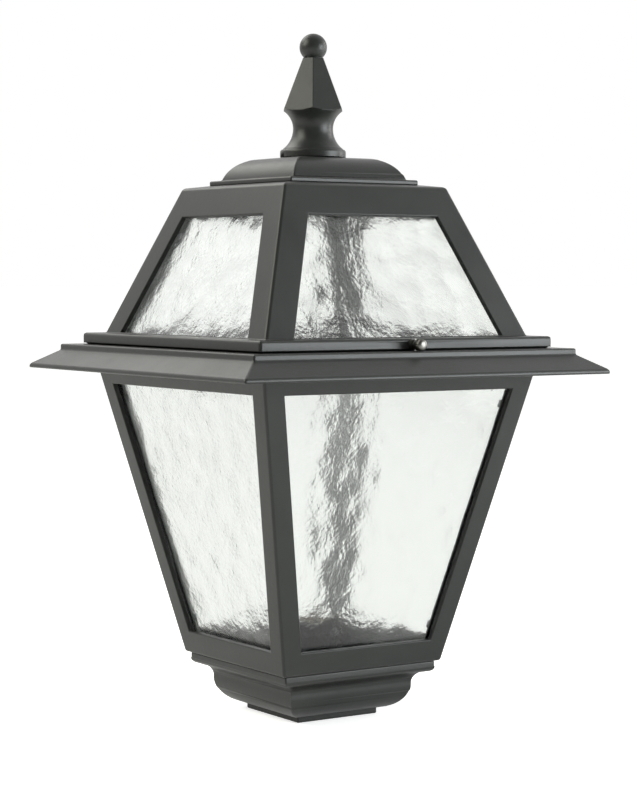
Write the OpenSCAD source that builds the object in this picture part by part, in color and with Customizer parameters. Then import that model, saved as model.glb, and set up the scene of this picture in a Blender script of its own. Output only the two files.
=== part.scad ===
// Garden lamp head: a four-sided lantern in cast aluminium with hammered glass panes.
// The origin is in the middle of the foot's underside and +Z is up. The front, with the thumb
// screw, looks along -Y, and the roof swings up about two hinges at the back.

/* [Base] */
// Width of the square foot
foot_w = 70; // [66:1:76]
// Height of the foot
foot_h = 4.8; // [4:0.1:8]
// Radius of the round moulding above the foot
ovolo_r = 18; // [17:0.5:22]
// Height of the step between the round and the hollow moulding
fillet_h = 1.5; // [0.5:0.1:4]
// Radius of the hollow moulding
cavetto_r = 8.5; // [7.5:0.1:11]
// Radius of the bead above it
bead_r = 4; // [3:0.1:6]
// Height from the middle of the bead to the top of the base
bead_rise = 4.2; // [4:0.1:8]
// Thickness of the base casting
base_wall = 3.5; // [3:0.1:4.5]
// Distance between the foot's bolt holes, both ways
bolt_pitch = 46; // [44:1:50]
// Diameter of the foot's bolt holes
bolt_hole_d = 5.5; // [4.5:0.1:6.5]
// Diameter of the cable hole in the foot
cable_hole_d = 14; // [12:0.5:18]

/* [Body frame] */
// How far the body frame stands out over the base, all round
body_lap = 3.15; // [1:0.05:5]
// Height of the body frame
body_h = 227; // [190:1:280]
// Width of the body frame at its top
body_top_w = 239.2; // [225:0.2:260]
// Thickness of the body casting
body_wall = 4; // [3:0.1:5]
// Thickness of the flange that stands on the base
flange_t = 4; // [3:0.1:6]
// Width of the stiles beside the body's glass
body_stile = 16; // [15:0.1:22]
// Height of the rail below the body's glass
sill_h = 17; // [10:0.1:30]
// Height of the rail above the body's glass
head_h = 25.6; // [22:0.1:40]

/* [Brim] */
// Thickness of the brim's flat top
brim_t = 3.8; // [3:0.1:6]
// Height of the upright band above the skirt
ledge_h = 4.4; // [4:0.1:8]
// How far the ledge stands out past the roof's band
ledge_w = 12.5; // [10:0.1:20]
// How far the sloping skirt runs outwards
skirt_run = 17.5; // [14:0.1:25]
// How far the sloping skirt falls
skirt_drop = 10.8; // [8:0.1:15]
// Height of the lip at the edge of the brim
lip_h = 3; // [2.5:0.1:6]
// Thickness of the skirt and the lip
skirt_t = 3; // [2.5:0.1:4]
// Height of the upstand inside the roof's band
upstand_h = 4.2; // [3:0.1:4.6]
// Thickness of the upstand
upstand_t = 2.7; // [2:0.1:4]
// Gap between the upstand and the roof's band
upstand_gap = 1.4; // [1:0.1:2.5]

/* [Roof frame] */
// Height of the roof's band, with the groove under it
band_h = 8.6; // [8.4:0.1:12]
// Thickness of the roof's band
band_t = 4; // [3:0.1:5]
// Height of the shadow groove under the band
groove_h = 1; // [0.5:0.1:2]
// Depth of the shadow groove
groove_d = 2.5; // [1:0.1:3]
// Width of the shelf between the band and the sloping frame
shelf_w = 12.5; // [10:0.1:18]
// Thickness of the shelf
shelf_t = 3.5; // [2.5:0.1:3.8]
// Height of the sloping frame
roof_h = 107.4; // [90:0.2:130]
// Width of the sloping frame at its top
roof_top_w = 140.8; // [126:0.2:150]
// Thickness of the roof casting
roof_wall = 4; // [3:0.1:5]
// Width of the stiles beside the roof's glass
roof_stile = 23; // [18:0.1:26]
// Height of the small rail below the roof's glass
roof_sill = 0.8; // [0.5:0.1:6]
// Height of the rail above the roof's glass
roof_head = 21.3; // [18:0.1:30]
// Rise of the weathered slope up to the cap
weather_h = 1.9; // [1:0.1:4]

/* [Cap] */
// Width of the cap's square plate
cap_w = 111; // [100:1:122]
// Thickness of the plate
plate_t = 3.5; // [2:0.1:6]
// Width of the step from the plate to the dome
cap_step = 6.4; // [4:0.1:9]
// Radius of the dome's rounded sides
dome_r = 22; // [18:0.1:24]
// Height of the dome above the plate
dome_h = 16; // [12:0.1:17]
// Thickness of the cap casting
cap_wall = 3; // [2.5:0.1:4]
// Diameter of the round seat under the finial
seat_d = 42; // [36:0.5:46]
// Height of the round seat
seat_h = 1.2; // [0.5:0.1:3]

/* [Finial] */
// Diameter of the disc
disc_d = 48.4; // [47:0.2:56]
// Height of the disc
disc_h = 5.6; // [4:0.1:8]
// Radius of the disc's upper edge
disc_edge_r = 2.1; // [1:0.1:3]
// Height of the neck's waist above the disc
waist_h = 15.2; // [14:0.1:17]
// Diameter of the neck at its waist
waist_d = 29.4; // [26:0.1:30]
// Radius of the hollow curve below the waist
waist_r = 18.5; // [17:0.1:22]
// Radius of the hollow curve above the waist
crown_r = 15.5; // [15:0.1:18]
// Height from the waist to the foot of the spire's six flats
spire_rise = 12.9; // [11:0.1:13.5]
// Width of the spire at its foot, across two flats
spire_low_w = 43; // [40:0.2:46]
// Width of the spire at its top, across two flats
spire_top_w = 14.8; // [12:0.2:16]
// Height of the spire
spire_h = 38.7; // [32:0.1:48]
// Diameter of the ball
ball_d = 20.2; // [18:0.2:24]
// How far the ball sinks into the spire
ball_sink = 2.3; // [1.5:0.1:4]
// Turn of the finial against the body, in degrees
finial_turn = 26; // [0:1:60]

/* [Glass and glazing strips] */
// Thickness of the panes
glass_t = 4; // [3:0.1:5]
// How far the panes reach up behind the upper rails
glass_lap = 8; // [5:0.1:12]
// Width of the strips that hold the panes in the corners
strip_w = 11; // [10:0.1:13]
// Thickness of the strips
strip_t = 1; // [0.8:0.1:2]
// Width of the corner bosses that the strips are screwed to
boss_w = 6.4; // [6:0.1:7]
// Length of the corner bosses
boss_l = 10; // [8:0.5:14]
// Distance of the bosses from the ends of a strip
boss_inset = 20; // [12:1:30]
// Diameter of the strips' screws
strip_screw_d = 3; // [2.5:0.1:3.5]
// Length of the strips' screws
strip_screw_l = 8; // [6:0.5:9]

/* [Casting screws] */
// Diameter of the screws that join the castings
screw_d = 4; // [3:0.1:4.5]
// Length of those screws
screw_l = 12; // [10:0.5:13]
// Diameter of the bosses for those screws
screw_boss_d = 10; // [9:0.5:11]

/* [Hinges] */
// Distance of each hinge from the middle of the back
hinge_x = 70; // [40:1:90]
// Distance of the hinge axis behind the roof's band
hinge_reach = 5; // [4.8:0.1:6]
// Diameter of the knuckles
knuckle_d = 8; // [7:0.1:8.2]
// Width of the brim's lug
lug_w = 10; // [6:0.5:16]
// Width of each of the roof's two ears
ear_w = 6; // [4:0.5:10]
// Diameter of the hinge pins
hinge_pin_d = 4; // [3:0.1:5]

/* [Thumb screw] */
// Diameter of the screw's shank
thumb_d = 4; // [3:0.1:4.4]
// Diameter of the knurled head
thumb_head_d = 8; // [7:0.1:8.2]
// Length of the knurled head
thumb_head_l = 6.5; // [5:0.1:6.8]
// Number of flutes round the head
thumb_flutes = 16; // [12:1:20]
// Length of the loose collar
collar_l = 3.5; // [2:0.1:4]
// Length of the plain neck between collar and head
thumb_neck_l = 1.4; // [1:0.1:2]

/* [Lampholder and wiring] */
// Inside diameter of the lamp thread
lamp_thread_d = 26.6; // [26:0.1:27]
// Outside diameter of the lampholder
holder_d = 40; // [38:0.5:44]
// Height of the holder's lower cup
holder_cup_h = 18; // [16:0.5:22]
// Height of the holder's upper shell
holder_shell_h = 30; // [28:0.5:34]
// Outside diameter of the threaded tube under the holder
nipple_d = 10; // [9:0.5:12]
// Length of the threaded tube
nipple_l = 16; // [15:0.5:17]
// Width of the bracket's strip
bracket_w = 16; // [15:0.5:17]
// Thickness of the bracket's strip
bracket_t = 2; // [1.5:0.1:2.5]
// Height of the bracket
bracket_h = 13.7; // [13:0.1:16]
// Length of the bracket's bridge
bracket_l = 46; // [42:1:48]
// Length of each foot of the bracket
bracket_foot_l = 11; // [10:0.5:12]
// Diameter of the cores' insulation
wire_d = 2; // [1.6:0.1:2.2]

/* [Hidden] */
$fn = 64;

// Clearances: a part that is held still, a part that turns, and parts that only pass each other
fixed_gap = 0.03;
running_gap = 0.08;
free_gap = 0.3;
overlap = 1;
screw_end_room = 0.5;
screw_hole_room = 0.4;
tight_hole_room = 0.2;
pin_show = 0.5;
strip_foot_room = 4;
strip_head_room = 3;
floor_screw_bore = 5;
fixing_bore = 4;
earth_bore = 2;

// Base
foot_half = foot_w / 2;
ovolo_half = foot_half + ovolo_r;
bead_half = ovolo_half + cavetto_r;
base_half = bead_half + bead_r;
ovolo_z = foot_h + ovolo_r;
cavetto_z = ovolo_z + fillet_h;
bead_low_z = cavetto_z + cavetto_r;
bead_z = bead_low_z + bead_r;
base_h = bead_z + bead_rise;
floor_z = foot_h + base_wall;
cup_half = ovolo_half - base_wall;
cup_shelf_z = bead_low_z + base_wall;
cup_top_half = base_half - base_wall;
base_screw_at = (cup_half + cup_top_half) / 2;

// Body frame
body_foot_half = base_half + body_lap;
body_top_half = body_top_w / 2;
body_slope = (body_top_half - body_foot_half) / body_h;
body_z = base_h;
body_top_z = body_z + body_h;
flange_z = body_z + flange_t;
body_side = body_wall * steep(body_slope);
body_window_z = body_z + sill_h;
body_window_top_z = body_top_z - head_h;
brim_screw_at = body_top_half - body_side - screw_boss_d / 2 + overlap;
brim_boss_h = 14;

// Brim
brim_z = body_top_z;
brim_top_z = brim_z + brim_t;
brim_hole_half = brim_screw_at - screw_boss_d / 2 + 0.5;
upstand_half = body_top_half;
band_in_half = upstand_half + upstand_gap;
band_half = band_in_half + band_t;
ledge_half = band_half + ledge_w;
lip_half = ledge_half + skirt_run;
ledge_low_z = brim_top_z - ledge_h;
lip_top_z = ledge_low_z - skirt_drop;
lip_z = lip_top_z - lip_h;
skirt_slope = skirt_drop / skirt_run;
skirt_under = skirt_t * steep(skirt_slope);
reach = 2 * lip_half + 20;

// Roof frame
band_top_z = brim_top_z + band_h;
shelf_z = band_top_z - shelf_t;
roof_foot_half = band_half - shelf_w;
roof_top_half = roof_top_w / 2;
roof_top_z = band_top_z + roof_h;
roof_slope = (roof_top_half - roof_foot_half) / roof_h;
roof_side = roof_wall * steep(roof_slope);
roof_ceiling_z = roof_top_z - roof_wall;
roof_window_z = band_top_z + roof_sill;
roof_window_top_z = roof_top_z - roof_head;
cap_z = roof_top_z + weather_h;

// Corner seats that carry the roof's panes
roof_seat_t = 2;
seat_gap = 4.4;
roof_seat_leg = 28;
roof_seat_z = brim_top_z + groove_h;
roof_seat_half = upstand_half - upstand_t - seat_gap;

// Cap
cap_half = cap_w / 2;
plate_top_z = cap_z + plate_t;
cap_boss_d = 16;
dome_half = cap_half - cap_step;
dome_drop = dome_r - dome_h;
dome_at = dome_half - sqrt(dome_r * dome_r - dome_drop * dome_drop);
dome_top_z = plate_top_z + dome_h;
dome_centre_z = dome_top_z - dome_r;
finial_z = dome_top_z + seat_h;

// Finial
neck_z = finial_z + disc_h;
waist_z = neck_z + waist_h;
spire_z = waist_z + spire_rise;
spire_top_z = spire_z + spire_h;
ball_z = spire_top_z + ball_d / 2 - ball_sink;
spire_taper = (spire_low_w - spire_top_w) / 2 / spire_h;
stud_d = 6;
stud_hole_d = stud_d + 2 * free_gap;
stud_bore = 14;
stud_washer_d = 16;
stud_washer_t = 1.6;
stud_nut_w = 10;
stud_nut_h = 5;
stud_tail = 2;

// Panes and strips
body_pane_top_z = body_window_top_z + glass_lap;
roof_pane_top_z = roof_window_top_z + glass_lap;
body_pane_z = flange_z - body_wall * body_slope / steep(body_slope);
roof_pane_z = roof_seat_z + roof_seat_t - (roof_wall + glass_t) * roof_slope / steep(roof_slope);
boss_gap = 0.4;
strip_bore = strip_screw_l - strip_t + screw_end_room;

// Hinges
hinge_y = band_half + hinge_reach;
hinge_z = brim_top_z + knuckle_d / 2 + free_gap;
hinge_pin_l = lug_w + 2 * ear_w + 2 * free_gap + 2 * pin_show;

// Thumb screw
thumb_z = brim_top_z + thumb_head_d / 2 + free_gap;
thumb_tip = upstand_half + free_gap;
collar_at = band_half + free_gap;
thumb_neck_at = collar_at + collar_l + free_gap;
thumb_head_at = thumb_neck_at + thumb_neck_l;
flute_r = 0.5;

// Lampholder, measured up from the base's floor
bridge_z = floor_z + bracket_h - bracket_t;
holder_z = floor_z + bracket_h;
holder_split_z = holder_z + holder_cup_h;
holder_wall = 3;
cup_neck_wall = 4;
cup_foot_h = 3;
cup_ledge = 2;
shell_lip_h = 3;
shell_grip_h = 10;
shell_grip_cut = 1.2;
shell_edge_cut = 1;
holder_in_r = holder_d / 2 - holder_wall;
nipple_below_l = 8;
nipple_z = holder_z - nipple_below_l;
nipple_wall = 1.2;
nut_h = 4;
nut_w = 14;
insert_h = 7;
insert_rise = 4;
insert_gap = 0.2;
insert_top_z = holder_split_z + insert_rise;
insert_z = insert_top_z - insert_h;
sleeve_t = 0.5;
sleeve_gap = 0.6;
sleeve_h = holder_shell_h - shell_lip_h - insert_rise;
contact_d = 9;
contact_h = 2;
contact_screw_x = 9;
bracket_screw_shift = 0.5;
bracket_screw_x = bracket_l / 2 + bracket_foot_l / 2 + bracket_screw_shift;
floor_screw_bite = 4.5;
core_hole_room = 1;

// Terminal block and earth screw, on the base's floor
terminal_y = 27;
terminal_size = [28, 10, 13];
terminal_pitch = 9;
terminal_axis_h = 6.2;
terminal_z = floor_z + terminal_axis_h;
terminal_sleeve_d = 4.4;
terminal_wall = 0.9;
terminal_screw_d = 2.6;
terminal_screw_l = 3.2;
terminal_screw_gap = 0.05;
terminal_fixing_d = 3;
terminal_fixing_bite = 3.5;
earth_at = [29, 14];
earth_boss_d = 9;
earth_boss_h = 3;
earth_tag_t = 0.8;
earth_tag_d = 8;
earth_barrel_l = 6;
earth_barrel_d = wire_d + core_hole_room;
earth_screw_bite = 1.5;
earth_barrel_x = earth_at.x - screw_d - free_gap;
earth_barrel_z = floor_z + earth_boss_h + earth_barrel_d / 2;

// Cable bush
bush_wall = 2.5;
bush_flange_w = 2.5;
bush_flange_h = 2;
bush_gap = 0.05;

// Routes of the three cores, from the terminals up the threaded tube or to the earth tag
live_route = [[-9, 25, 14.5], [-9, 22, 14.5], [-8.6, 18, 14], [-6.5, 12, 12.8], [-4, 6, 12.3],
    [-2.2, 2, 12.8], [-1.6, 0.3, 14.5], [-1.6, 0, 18], [-1.6, 0, 23], [-1.6, 0, 29]];
neutral_route = [[0, 25, 14.5], [0, 22, 14.5], [0.2, 18, 14], [1, 12, 12.8], [1.4, 6, 12.3],
    [1.6, 2, 12.8], [1.6, 0.3, 14.5], [1.6, 0, 18], [1.6, 0, 23], [1.6, 0, 29]];
earth_route = [[9, 25, 14.5], [9, 22, 14.5], [9.6, 18.6, 14.4], [11.6, 15.6, 13.8], [15, 14.2, 13],
    [19, 14, 12.8], [23, 14, 12.8]];

// Colours
graphite = "#4b5050";
clear_glass = "#b9c9c4";
steel = "#b8bbbd";
brass = "#b59a55";
porcelain = "#e8e4da";
black = "#222222";

SIDES = ["front", "right", "back", "left"];
CORNERS = ["back_right", "back_left", "front_left", "front_right"];

// Length along a slope for each unit of height
function steep(slope) = sqrt(1 + slope * slope);

// Half the angle between two neighbouring faces, across their corner edge
function corner_angle(slope) = (180 - acos(slope * slope / (1 + slope * slope))) / 2;

// Tilt of the corner edge out of the upright
function corner_tilt(slope) = atan(slope * sqrt(2));

// Depth of a glazing strip's outer face behind the corner edge
function strip_depth(slope, wall) =
    (wall + glass_t + strip_w / 2 * cos(corner_angle(slope))) / sin(corner_angle(slope));

// Level distance of a pane's edge from the corner edge, so that it clears the corner bosses
function pane_inset(slope, wall) =
    (boss_w / 2 + boss_gap + (wall + glass_t) * cos(corner_angle(slope)))
    / sin(corner_angle(slope)) / cos(atan(slope / steep(slope)));

// Half width of the body and of the sloping roof at a height
function body_half(z) = body_foot_half + body_slope * (z - body_z);
function roof_half(z) = roof_foot_half + roof_slope * (z - band_top_z);

// Ends of the glazing strips, measured up the corner edge
function body_strip_low() =
    (flange_t + strip_foot_room - strip_depth(body_slope, body_wall) * sin(corner_tilt(body_slope)))
    / cos(corner_tilt(body_slope));
function body_strip_high() =
    (body_pane_top_z - body_z
        - (strip_depth(body_slope, body_wall) + strip_t) * sin(corner_tilt(body_slope)))
    / cos(corner_tilt(body_slope));
function roof_strip_low() =
    (roof_seat_z + roof_seat_t + overlap - band_top_z
        - (strip_depth(roof_slope, roof_wall) + strip_t) * sin(corner_tilt(roof_slope)))
    / cos(corner_tilt(roof_slope));
function roof_strip_high() =
    (roof_pane_top_z - strip_head_room - band_top_z - strip_depth(roof_slope, roof_wall)
        * sin(corner_tilt(roof_slope)))
    / cos(corner_tilt(roof_slope));

// Both halves of an outline that is drawn for the right side only
function mirrored(points) =
    concat(points, [for (i = [len(points) - 1:-1:0]) [-points[i].x, points[i].y]]);

// A solid with a square plan whose four sides all have the section drawn by its children
module mitred() {
    intersection() {
        rotate([90, 0, 0]) linear_extrude(reach, center = true) children();
        rotate([90, 0, 90]) linear_extrude(reach, center = true) children();
    }
}

// Section of an upright stretch and of a tapering stretch
module slab(half, low, high) {
    translate([-half, low]) square([2 * half, high - low]);
}

module taper(low_half, low, high_half, high) {
    polygon([[-low_half, low], [low_half, low], [high_half, high], [-high_half, high]]);
}

// A square block with its middle on the axis
module block(half, low, high) {
    translate([-half, -half, low]) cube([2 * half, 2 * half, high - low]);
}

module four_sides() {
    for (k = [0:3]) rotate(90 * k) children();
}

module in_corners(at, z) {
    for (x = [-at, at], y = [-at, at]) translate([x, y, z]) children();
}

// Local frame on the front face: x along it, y up its slope and z outwards
module on_face(half, slope, z) {
    translate([0, -half, z]) rotate([90 + atan(slope), 0, 0]) children();
}

// Local frame on the corner edge towards +X and +Y: z up the edge and -x inwards
module on_corner(half, slope, z) {
    rotate(45) translate([half * sqrt(2), 0, z]) rotate([0, corner_tilt(slope), 0]) children();
}

// The four glass openings of a tapering frame, cut square to its faces from z up to high
module window_cuts(half, stile, slope, z, high, wall) {
    rise = high - z;
    four_sides() on_face(half, slope, z) translate([0, 0, -wall - overlap])
        linear_extrude(wall + 2 * overlap)
            taper(half - stile, 0, half - stile + slope * rise, rise * steep(slope));
}

// Corner bosses for the glazing strips, and their pilot holes
module strip_bosses(half, slope, z, wall, low, high) {
    depth = strip_depth(slope, wall);
    root = wall / sin(corner_angle(slope)) - overlap;
    four_sides() on_corner(half, slope, z)
        for (at = [low + boss_inset, high - boss_inset])
            translate([-depth, -boss_w / 2, at - boss_l / 2]) cube([depth - root, boss_w, boss_l]);
}

module strip_holes(half, slope, z, wall, low, high) {
    depth = strip_depth(slope, wall);
    four_sides() on_corner(half, slope, z)
        for (at = [low + boss_inset, high - boss_inset])
            translate([-depth - overlap, 0, at]) rotate([0, 90, 0])
                cylinder(d = strip_screw_d + 2 * fixed_gap, h = strip_bore + overlap);
}

// One glazing strip, across the corner towards +X and +Y
module glazing_strip(half, slope, z, wall, low, high) {
    depth = strip_depth(slope, wall);
    on_corner(half, slope, z) difference() {
        translate([-depth - strip_t, -strip_w / 2, low]) cube([strip_t, strip_w, high - low]);
        for (at = [low + boss_inset, high - boss_inset])
            translate([-depth - strip_t - overlap, 0, at]) rotate([0, 90, 0])
                cylinder(d = strip_screw_d + screw_hole_room, h = strip_t + 2 * overlap);
    }
}

module strip_screw_set(half, slope, z, wall, low, high) {
    depth = strip_depth(slope, wall);
    four_sides() on_corner(half, slope, z)
        for (at = [low + boss_inset, high - boss_inset])
            translate([-depth - strip_t, 0, at]) rotate([0, -90, 0])
                pan_screw(strip_screw_d, strip_screw_l);
}

// Screw with a rounded slotted head on the plane z = 0 and its shank below
module pan_screw(d, length) {
    head_r = d;
    head_h = 0.6 * d;
    translate([0, 0, -length]) cylinder(d = d, h = length + overlap / 2);
    difference() {
        rotate_extrude() {
            square([head_r, head_h / 2]);
            square([head_r - head_h / 2, head_h]);
            intersection() {
                translate([head_r - head_h / 2, head_h / 2]) circle(head_h / 2);
                square([head_r, head_h]);
            }
        }
        translate([-d, -d / 8, head_h - d / 4]) cube([2 * d, d / 4, d]);
    }
}

// Screw with a countersunk slotted head, flush with the plane z = 0
module flat_screw(d, length) {
    translate([0, 0, -length]) cylinder(d = d, h = length - d / 2);
    difference() {
        translate([0, 0, -d / 2]) cylinder(r1 = d / 2, r2 = d, h = d / 2);
        translate([-d, -d / 8, -d / 4]) cube([2 * d, d / 4, d]);
    }
}

module nut(width, bore, height) {
    difference() {
        cylinder(r = width / sqrt(3), h = height, $fn = 6);
        translate([0, 0, -overlap]) cylinder(d = bore, h = height + 2 * overlap);
    }
}

module ring(outer, inner, height) {
    difference() {
        cylinder(d = outer, h = height);
        translate([0, 0, -overlap]) cylinder(d = inner, h = height + 2 * overlap);
    }
}

// Round core swept along a route
module core(route) {
    sides = 8;
    last = len(route) - 1;
    function unit(v) = v / norm(v);
    function heading(i) = unit(route[min(i + 1, last)] - route[max(i - 1, 0)]);
    rings = [for (i = [0:last])
        let (along = heading(i), across = unit(cross(along, [1, 0.35, 0.2])), up = cross(along, across))
        for (k = [0:sides - 1])
            route[i] + wire_d / 2 * (cos(360 * k / sides) * across + sin(360 * k / sides) * up)];
    walls = [for (i = [0:last - 1], k = [0:sides - 1])
        let (a = i * sides + k, b = i * sides + (k + 1) % sides)
        [b, a, a + sides, b + sides]];
    ends = [[for (k = [0:sides - 1]) k], [for (k = [sides - 1:-1:0]) last * sides + k]];
    polyhedron(rings, concat(walls, ends), convexity = 4);
}

// Mouldings of the base, up to its top face
module base_outline() {
    slab(foot_half, 0, ovolo_z);
    intersection() {
        for (side = [-1, 1]) translate([side * foot_half, ovolo_z]) circle(ovolo_r);
        slab(ovolo_half, foot_h, ovolo_z);
    }
    slab(ovolo_half, ovolo_z, cavetto_z);
    difference() {
        slab(bead_half, cavetto_z, bead_low_z);
        for (side = [-1, 1]) translate([side * bead_half, cavetto_z]) circle(cavetto_r);
    }
    slab(bead_half, bead_low_z, base_h);
    for (side = [-1, 1]) translate([side * bead_half, bead_z]) circle(bead_r);
    slab(base_half, bead_z, base_h);
}

module base_hollow() {
    slab(foot_half, floor_z, ovolo_z);
    intersection() {
        for (side = [-1, 1]) translate([side * foot_half, ovolo_z]) circle(ovolo_r - base_wall);
        slab(cup_half, floor_z, ovolo_z);
    }
    slab(cup_half, ovolo_z, base_h + overlap);
    slab(cup_top_half, cup_shelf_z, base_h + overlap);
}

// Base: a square cup with a moulded outside, bolted down through its floor
module base_cup() {
    color(graphite) difference() {
        union() {
            difference() {
                mitred() base_outline();
                mitred() base_hollow();
            }
            in_corners(base_screw_at, cup_shelf_z - overlap)
                cylinder(d = screw_boss_d, h = base_h - cup_shelf_z + overlap);
            translate([earth_at.x, earth_at.y, floor_z - overlap])
                cylinder(d = earth_boss_d, h = earth_boss_h + overlap);
        }
        in_corners(base_screw_at, base_h - screw_l + flange_t - screw_end_room)
            cylinder(d = screw_d + 2 * fixed_gap, h = screw_l);
        in_corners(bolt_pitch / 2, -overlap) cylinder(d = bolt_hole_d, h = floor_z + 2 * overlap);
        translate([0, 0, -overlap]) cylinder(d = cable_hole_d, h = floor_z + 2 * overlap);
        for (side = [-1, 1]) {
            translate([side * bracket_screw_x, 0, floor_z - floor_screw_bore])
                cylinder(d = screw_d + 2 * fixed_gap, h = floor_screw_bore + overlap);
            translate([side * terminal_pitch / 2, terminal_y, floor_z - fixing_bore])
                cylinder(d = terminal_fixing_d + 2 * fixed_gap, h = fixing_bore + overlap);
        }
        translate([earth_at.x, earth_at.y, floor_z - earth_bore])
            cylinder(d = screw_d + 2 * fixed_gap, h = earth_boss_h + earth_bore + overlap);
    }
}

// Body: four glazed sides that lean outwards, on a flange, with bosses in the corners
module body_frame() {
    strip = [body_strip_low(), body_strip_high()];
    color(graphite) difference() {
        union() {
            difference() {
                mitred() taper(body_foot_half, body_z, body_top_half, body_top_z);
                mitred() taper(body_half(flange_z) - body_side, flange_z,
                    body_half(body_top_z + overlap) - body_side, body_top_z + overlap);
                block(cup_half, body_z - overlap, flange_z + overlap);
            }
            strip_bosses(body_foot_half, body_slope, body_z, body_wall, strip[0], strip[1]);
            intersection() {
                in_corners(brim_screw_at, body_top_z - brim_boss_h)
                    cylinder(d = screw_boss_d, h = brim_boss_h);
                mitred() taper(body_foot_half, body_z, body_top_half, body_top_z);
            }
        }
        window_cuts(body_half(body_window_z), body_stile, body_slope, body_window_z,
            body_window_top_z, body_wall);
        strip_holes(body_foot_half, body_slope, body_z, body_wall, strip[0], strip[1]);
        in_corners(base_screw_at, body_z - overlap)
            cylinder(d = screw_d + 2 * fixed_gap, h = flange_t + 2 * overlap);
        in_corners(brim_screw_at, body_top_z - screw_l + brim_t - screw_end_room)
            cylinder(d = screw_d + 2 * fixed_gap, h = screw_l);
    }
}

// Brim: a square eaves casting with a sloping skirt and a thin lip
module brim() {
    under_at = lip_half - skirt_t;
    color(graphite) difference() {
        union() {
            difference() {
                mitred() polygon(mirrored([[lip_half, lip_z], [lip_half, lip_top_z],
                    [ledge_half, ledge_low_z], [ledge_half, brim_top_z]]));
                mitred() polygon(mirrored([[under_at, lip_z - overlap],
                    [under_at, lip_top_z + skirt_t * skirt_slope - skirt_under],
                    [lip_half - (brim_z - lip_top_z + skirt_under) / skirt_slope, brim_z]]));
            }
            for (side = [-1, 1]) hinge_lug(side);
        }
        block(brim_hole_half, brim_z - overlap, brim_top_z + overlap);
        in_corners(brim_screw_at, brim_z - overlap)
            cylinder(d = screw_d + 2 * fixed_gap, h = brim_t + 2 * overlap);
        in_corners(brim_screw_at, brim_top_z - screw_d / 2 - fixed_gap)
            cylinder(r1 = screw_d / 2, r2 = screw_d + fixed_gap, h = screw_d / 2 + fixed_gap + 0.01);
        for (side = [-1, 1]) hinge_bore(side, hinge_pin_d + 2 * fixed_gap);
    }
}

// Rain upstand on the brim, inside the roof's band
module brim_upstand() {
    color(graphite) difference() {
        block(upstand_half, brim_top_z, brim_top_z + upstand_h);
        block(upstand_half - upstand_t, brim_top_z - overlap, brim_top_z + upstand_h + overlap);
    }
}

// Brim's lug: a knuckle on a short post
module hinge_lug(side) {
    translate([side * hinge_x - lug_w / 2, hinge_y, hinge_z]) {
        rotate([0, 90, 0]) cylinder(d = knuckle_d, h = lug_w);
        translate([0, -knuckle_d / 2, brim_top_z - hinge_z - overlap])
            cube([lug_w, knuckle_d, hinge_z - brim_top_z + overlap]);
    }
}

// Roof's two ears, one on each side of the lug
module hinge_ears(side) {
    for (ear = [-1, 1])
        translate([side * hinge_x + ear * (lug_w / 2 + free_gap + ear_w / 2) - ear_w / 2, hinge_y, hinge_z]) {
            rotate([0, 90, 0]) cylinder(d = knuckle_d, h = ear_w);
            translate([0, -hinge_reach - overlap, -knuckle_d / 2])
                cube([ear_w, hinge_reach + overlap, knuckle_d]);
        }
}

module hinge_bore(side, d) {
    translate([side * hinge_x - hinge_pin_l / 2 - overlap, hinge_y, hinge_z]) rotate([0, 90, 0])
        cylinder(d = d, h = hinge_pin_l + 2 * overlap);
}

// Seat for the ends of two roof panes, hung from the shelf in the corner towards +X and +Y
module roof_seat() {
    post = roof_half(roof_pane_z) - pane_inset(roof_slope, roof_wall) + 1.5;
    translate([0, 0, roof_seat_z]) {
        linear_extrude(roof_seat_t) polygon([[roof_seat_half, roof_seat_half],
            [roof_seat_half - roof_seat_leg, roof_seat_half],
            [roof_seat_half, roof_seat_half - roof_seat_leg]]);
        translate([post, post, 0])
            cube([roof_seat_half - post, roof_seat_half - post, shelf_z - roof_seat_z + overlap]);
    }
}

// Roof: an upright band, a shelf and four glazed sides that lean inwards to a flat top
module roof_frame() {
    strip = [roof_strip_low(), roof_strip_high()];
    groove_half = band_half - groove_d;
    color(graphite) difference() {
        union() {
            difference() {
                mitred() {
                    slab(groove_half, brim_top_z, shelf_z);
                    slab(band_half, brim_top_z + groove_h, band_top_z);
                    taper(roof_foot_half, band_top_z, roof_top_half, roof_top_z);
                    taper(roof_top_half, roof_top_z, cap_half, cap_z);
                }
                block(band_in_half, brim_top_z - overlap, shelf_z);
                mitred() taper(roof_half(shelf_z - overlap) - roof_side, shelf_z - overlap,
                    roof_half(roof_ceiling_z) - roof_side, roof_ceiling_z);
            }
            strip_bosses(roof_foot_half, roof_slope, band_top_z, roof_wall, strip[0], strip[1]);
            four_sides() roof_seat();
            for (side = [-1, 1]) hinge_ears(side);
        }
        window_cuts(roof_half(roof_window_z), roof_stile, roof_slope, roof_window_z,
            roof_window_top_z, roof_wall);
        strip_holes(roof_foot_half, roof_slope, band_top_z, roof_wall, strip[0], strip[1]);
        for (side = [-1, 1]) hinge_bore(side, hinge_pin_d + 2 * running_gap);
        translate([0, -thumb_tip + 2 * overlap, thumb_z]) rotate([90, 0, 0])
            cylinder(d = thumb_d + 2 * running_gap, h = band_half - thumb_tip + 3 * overlap);
        translate([0, 0, roof_ceiling_z - overlap])
            cylinder(d = stud_hole_d, h = cap_z - roof_ceiling_z + 2 * overlap);
    }
}

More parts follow.
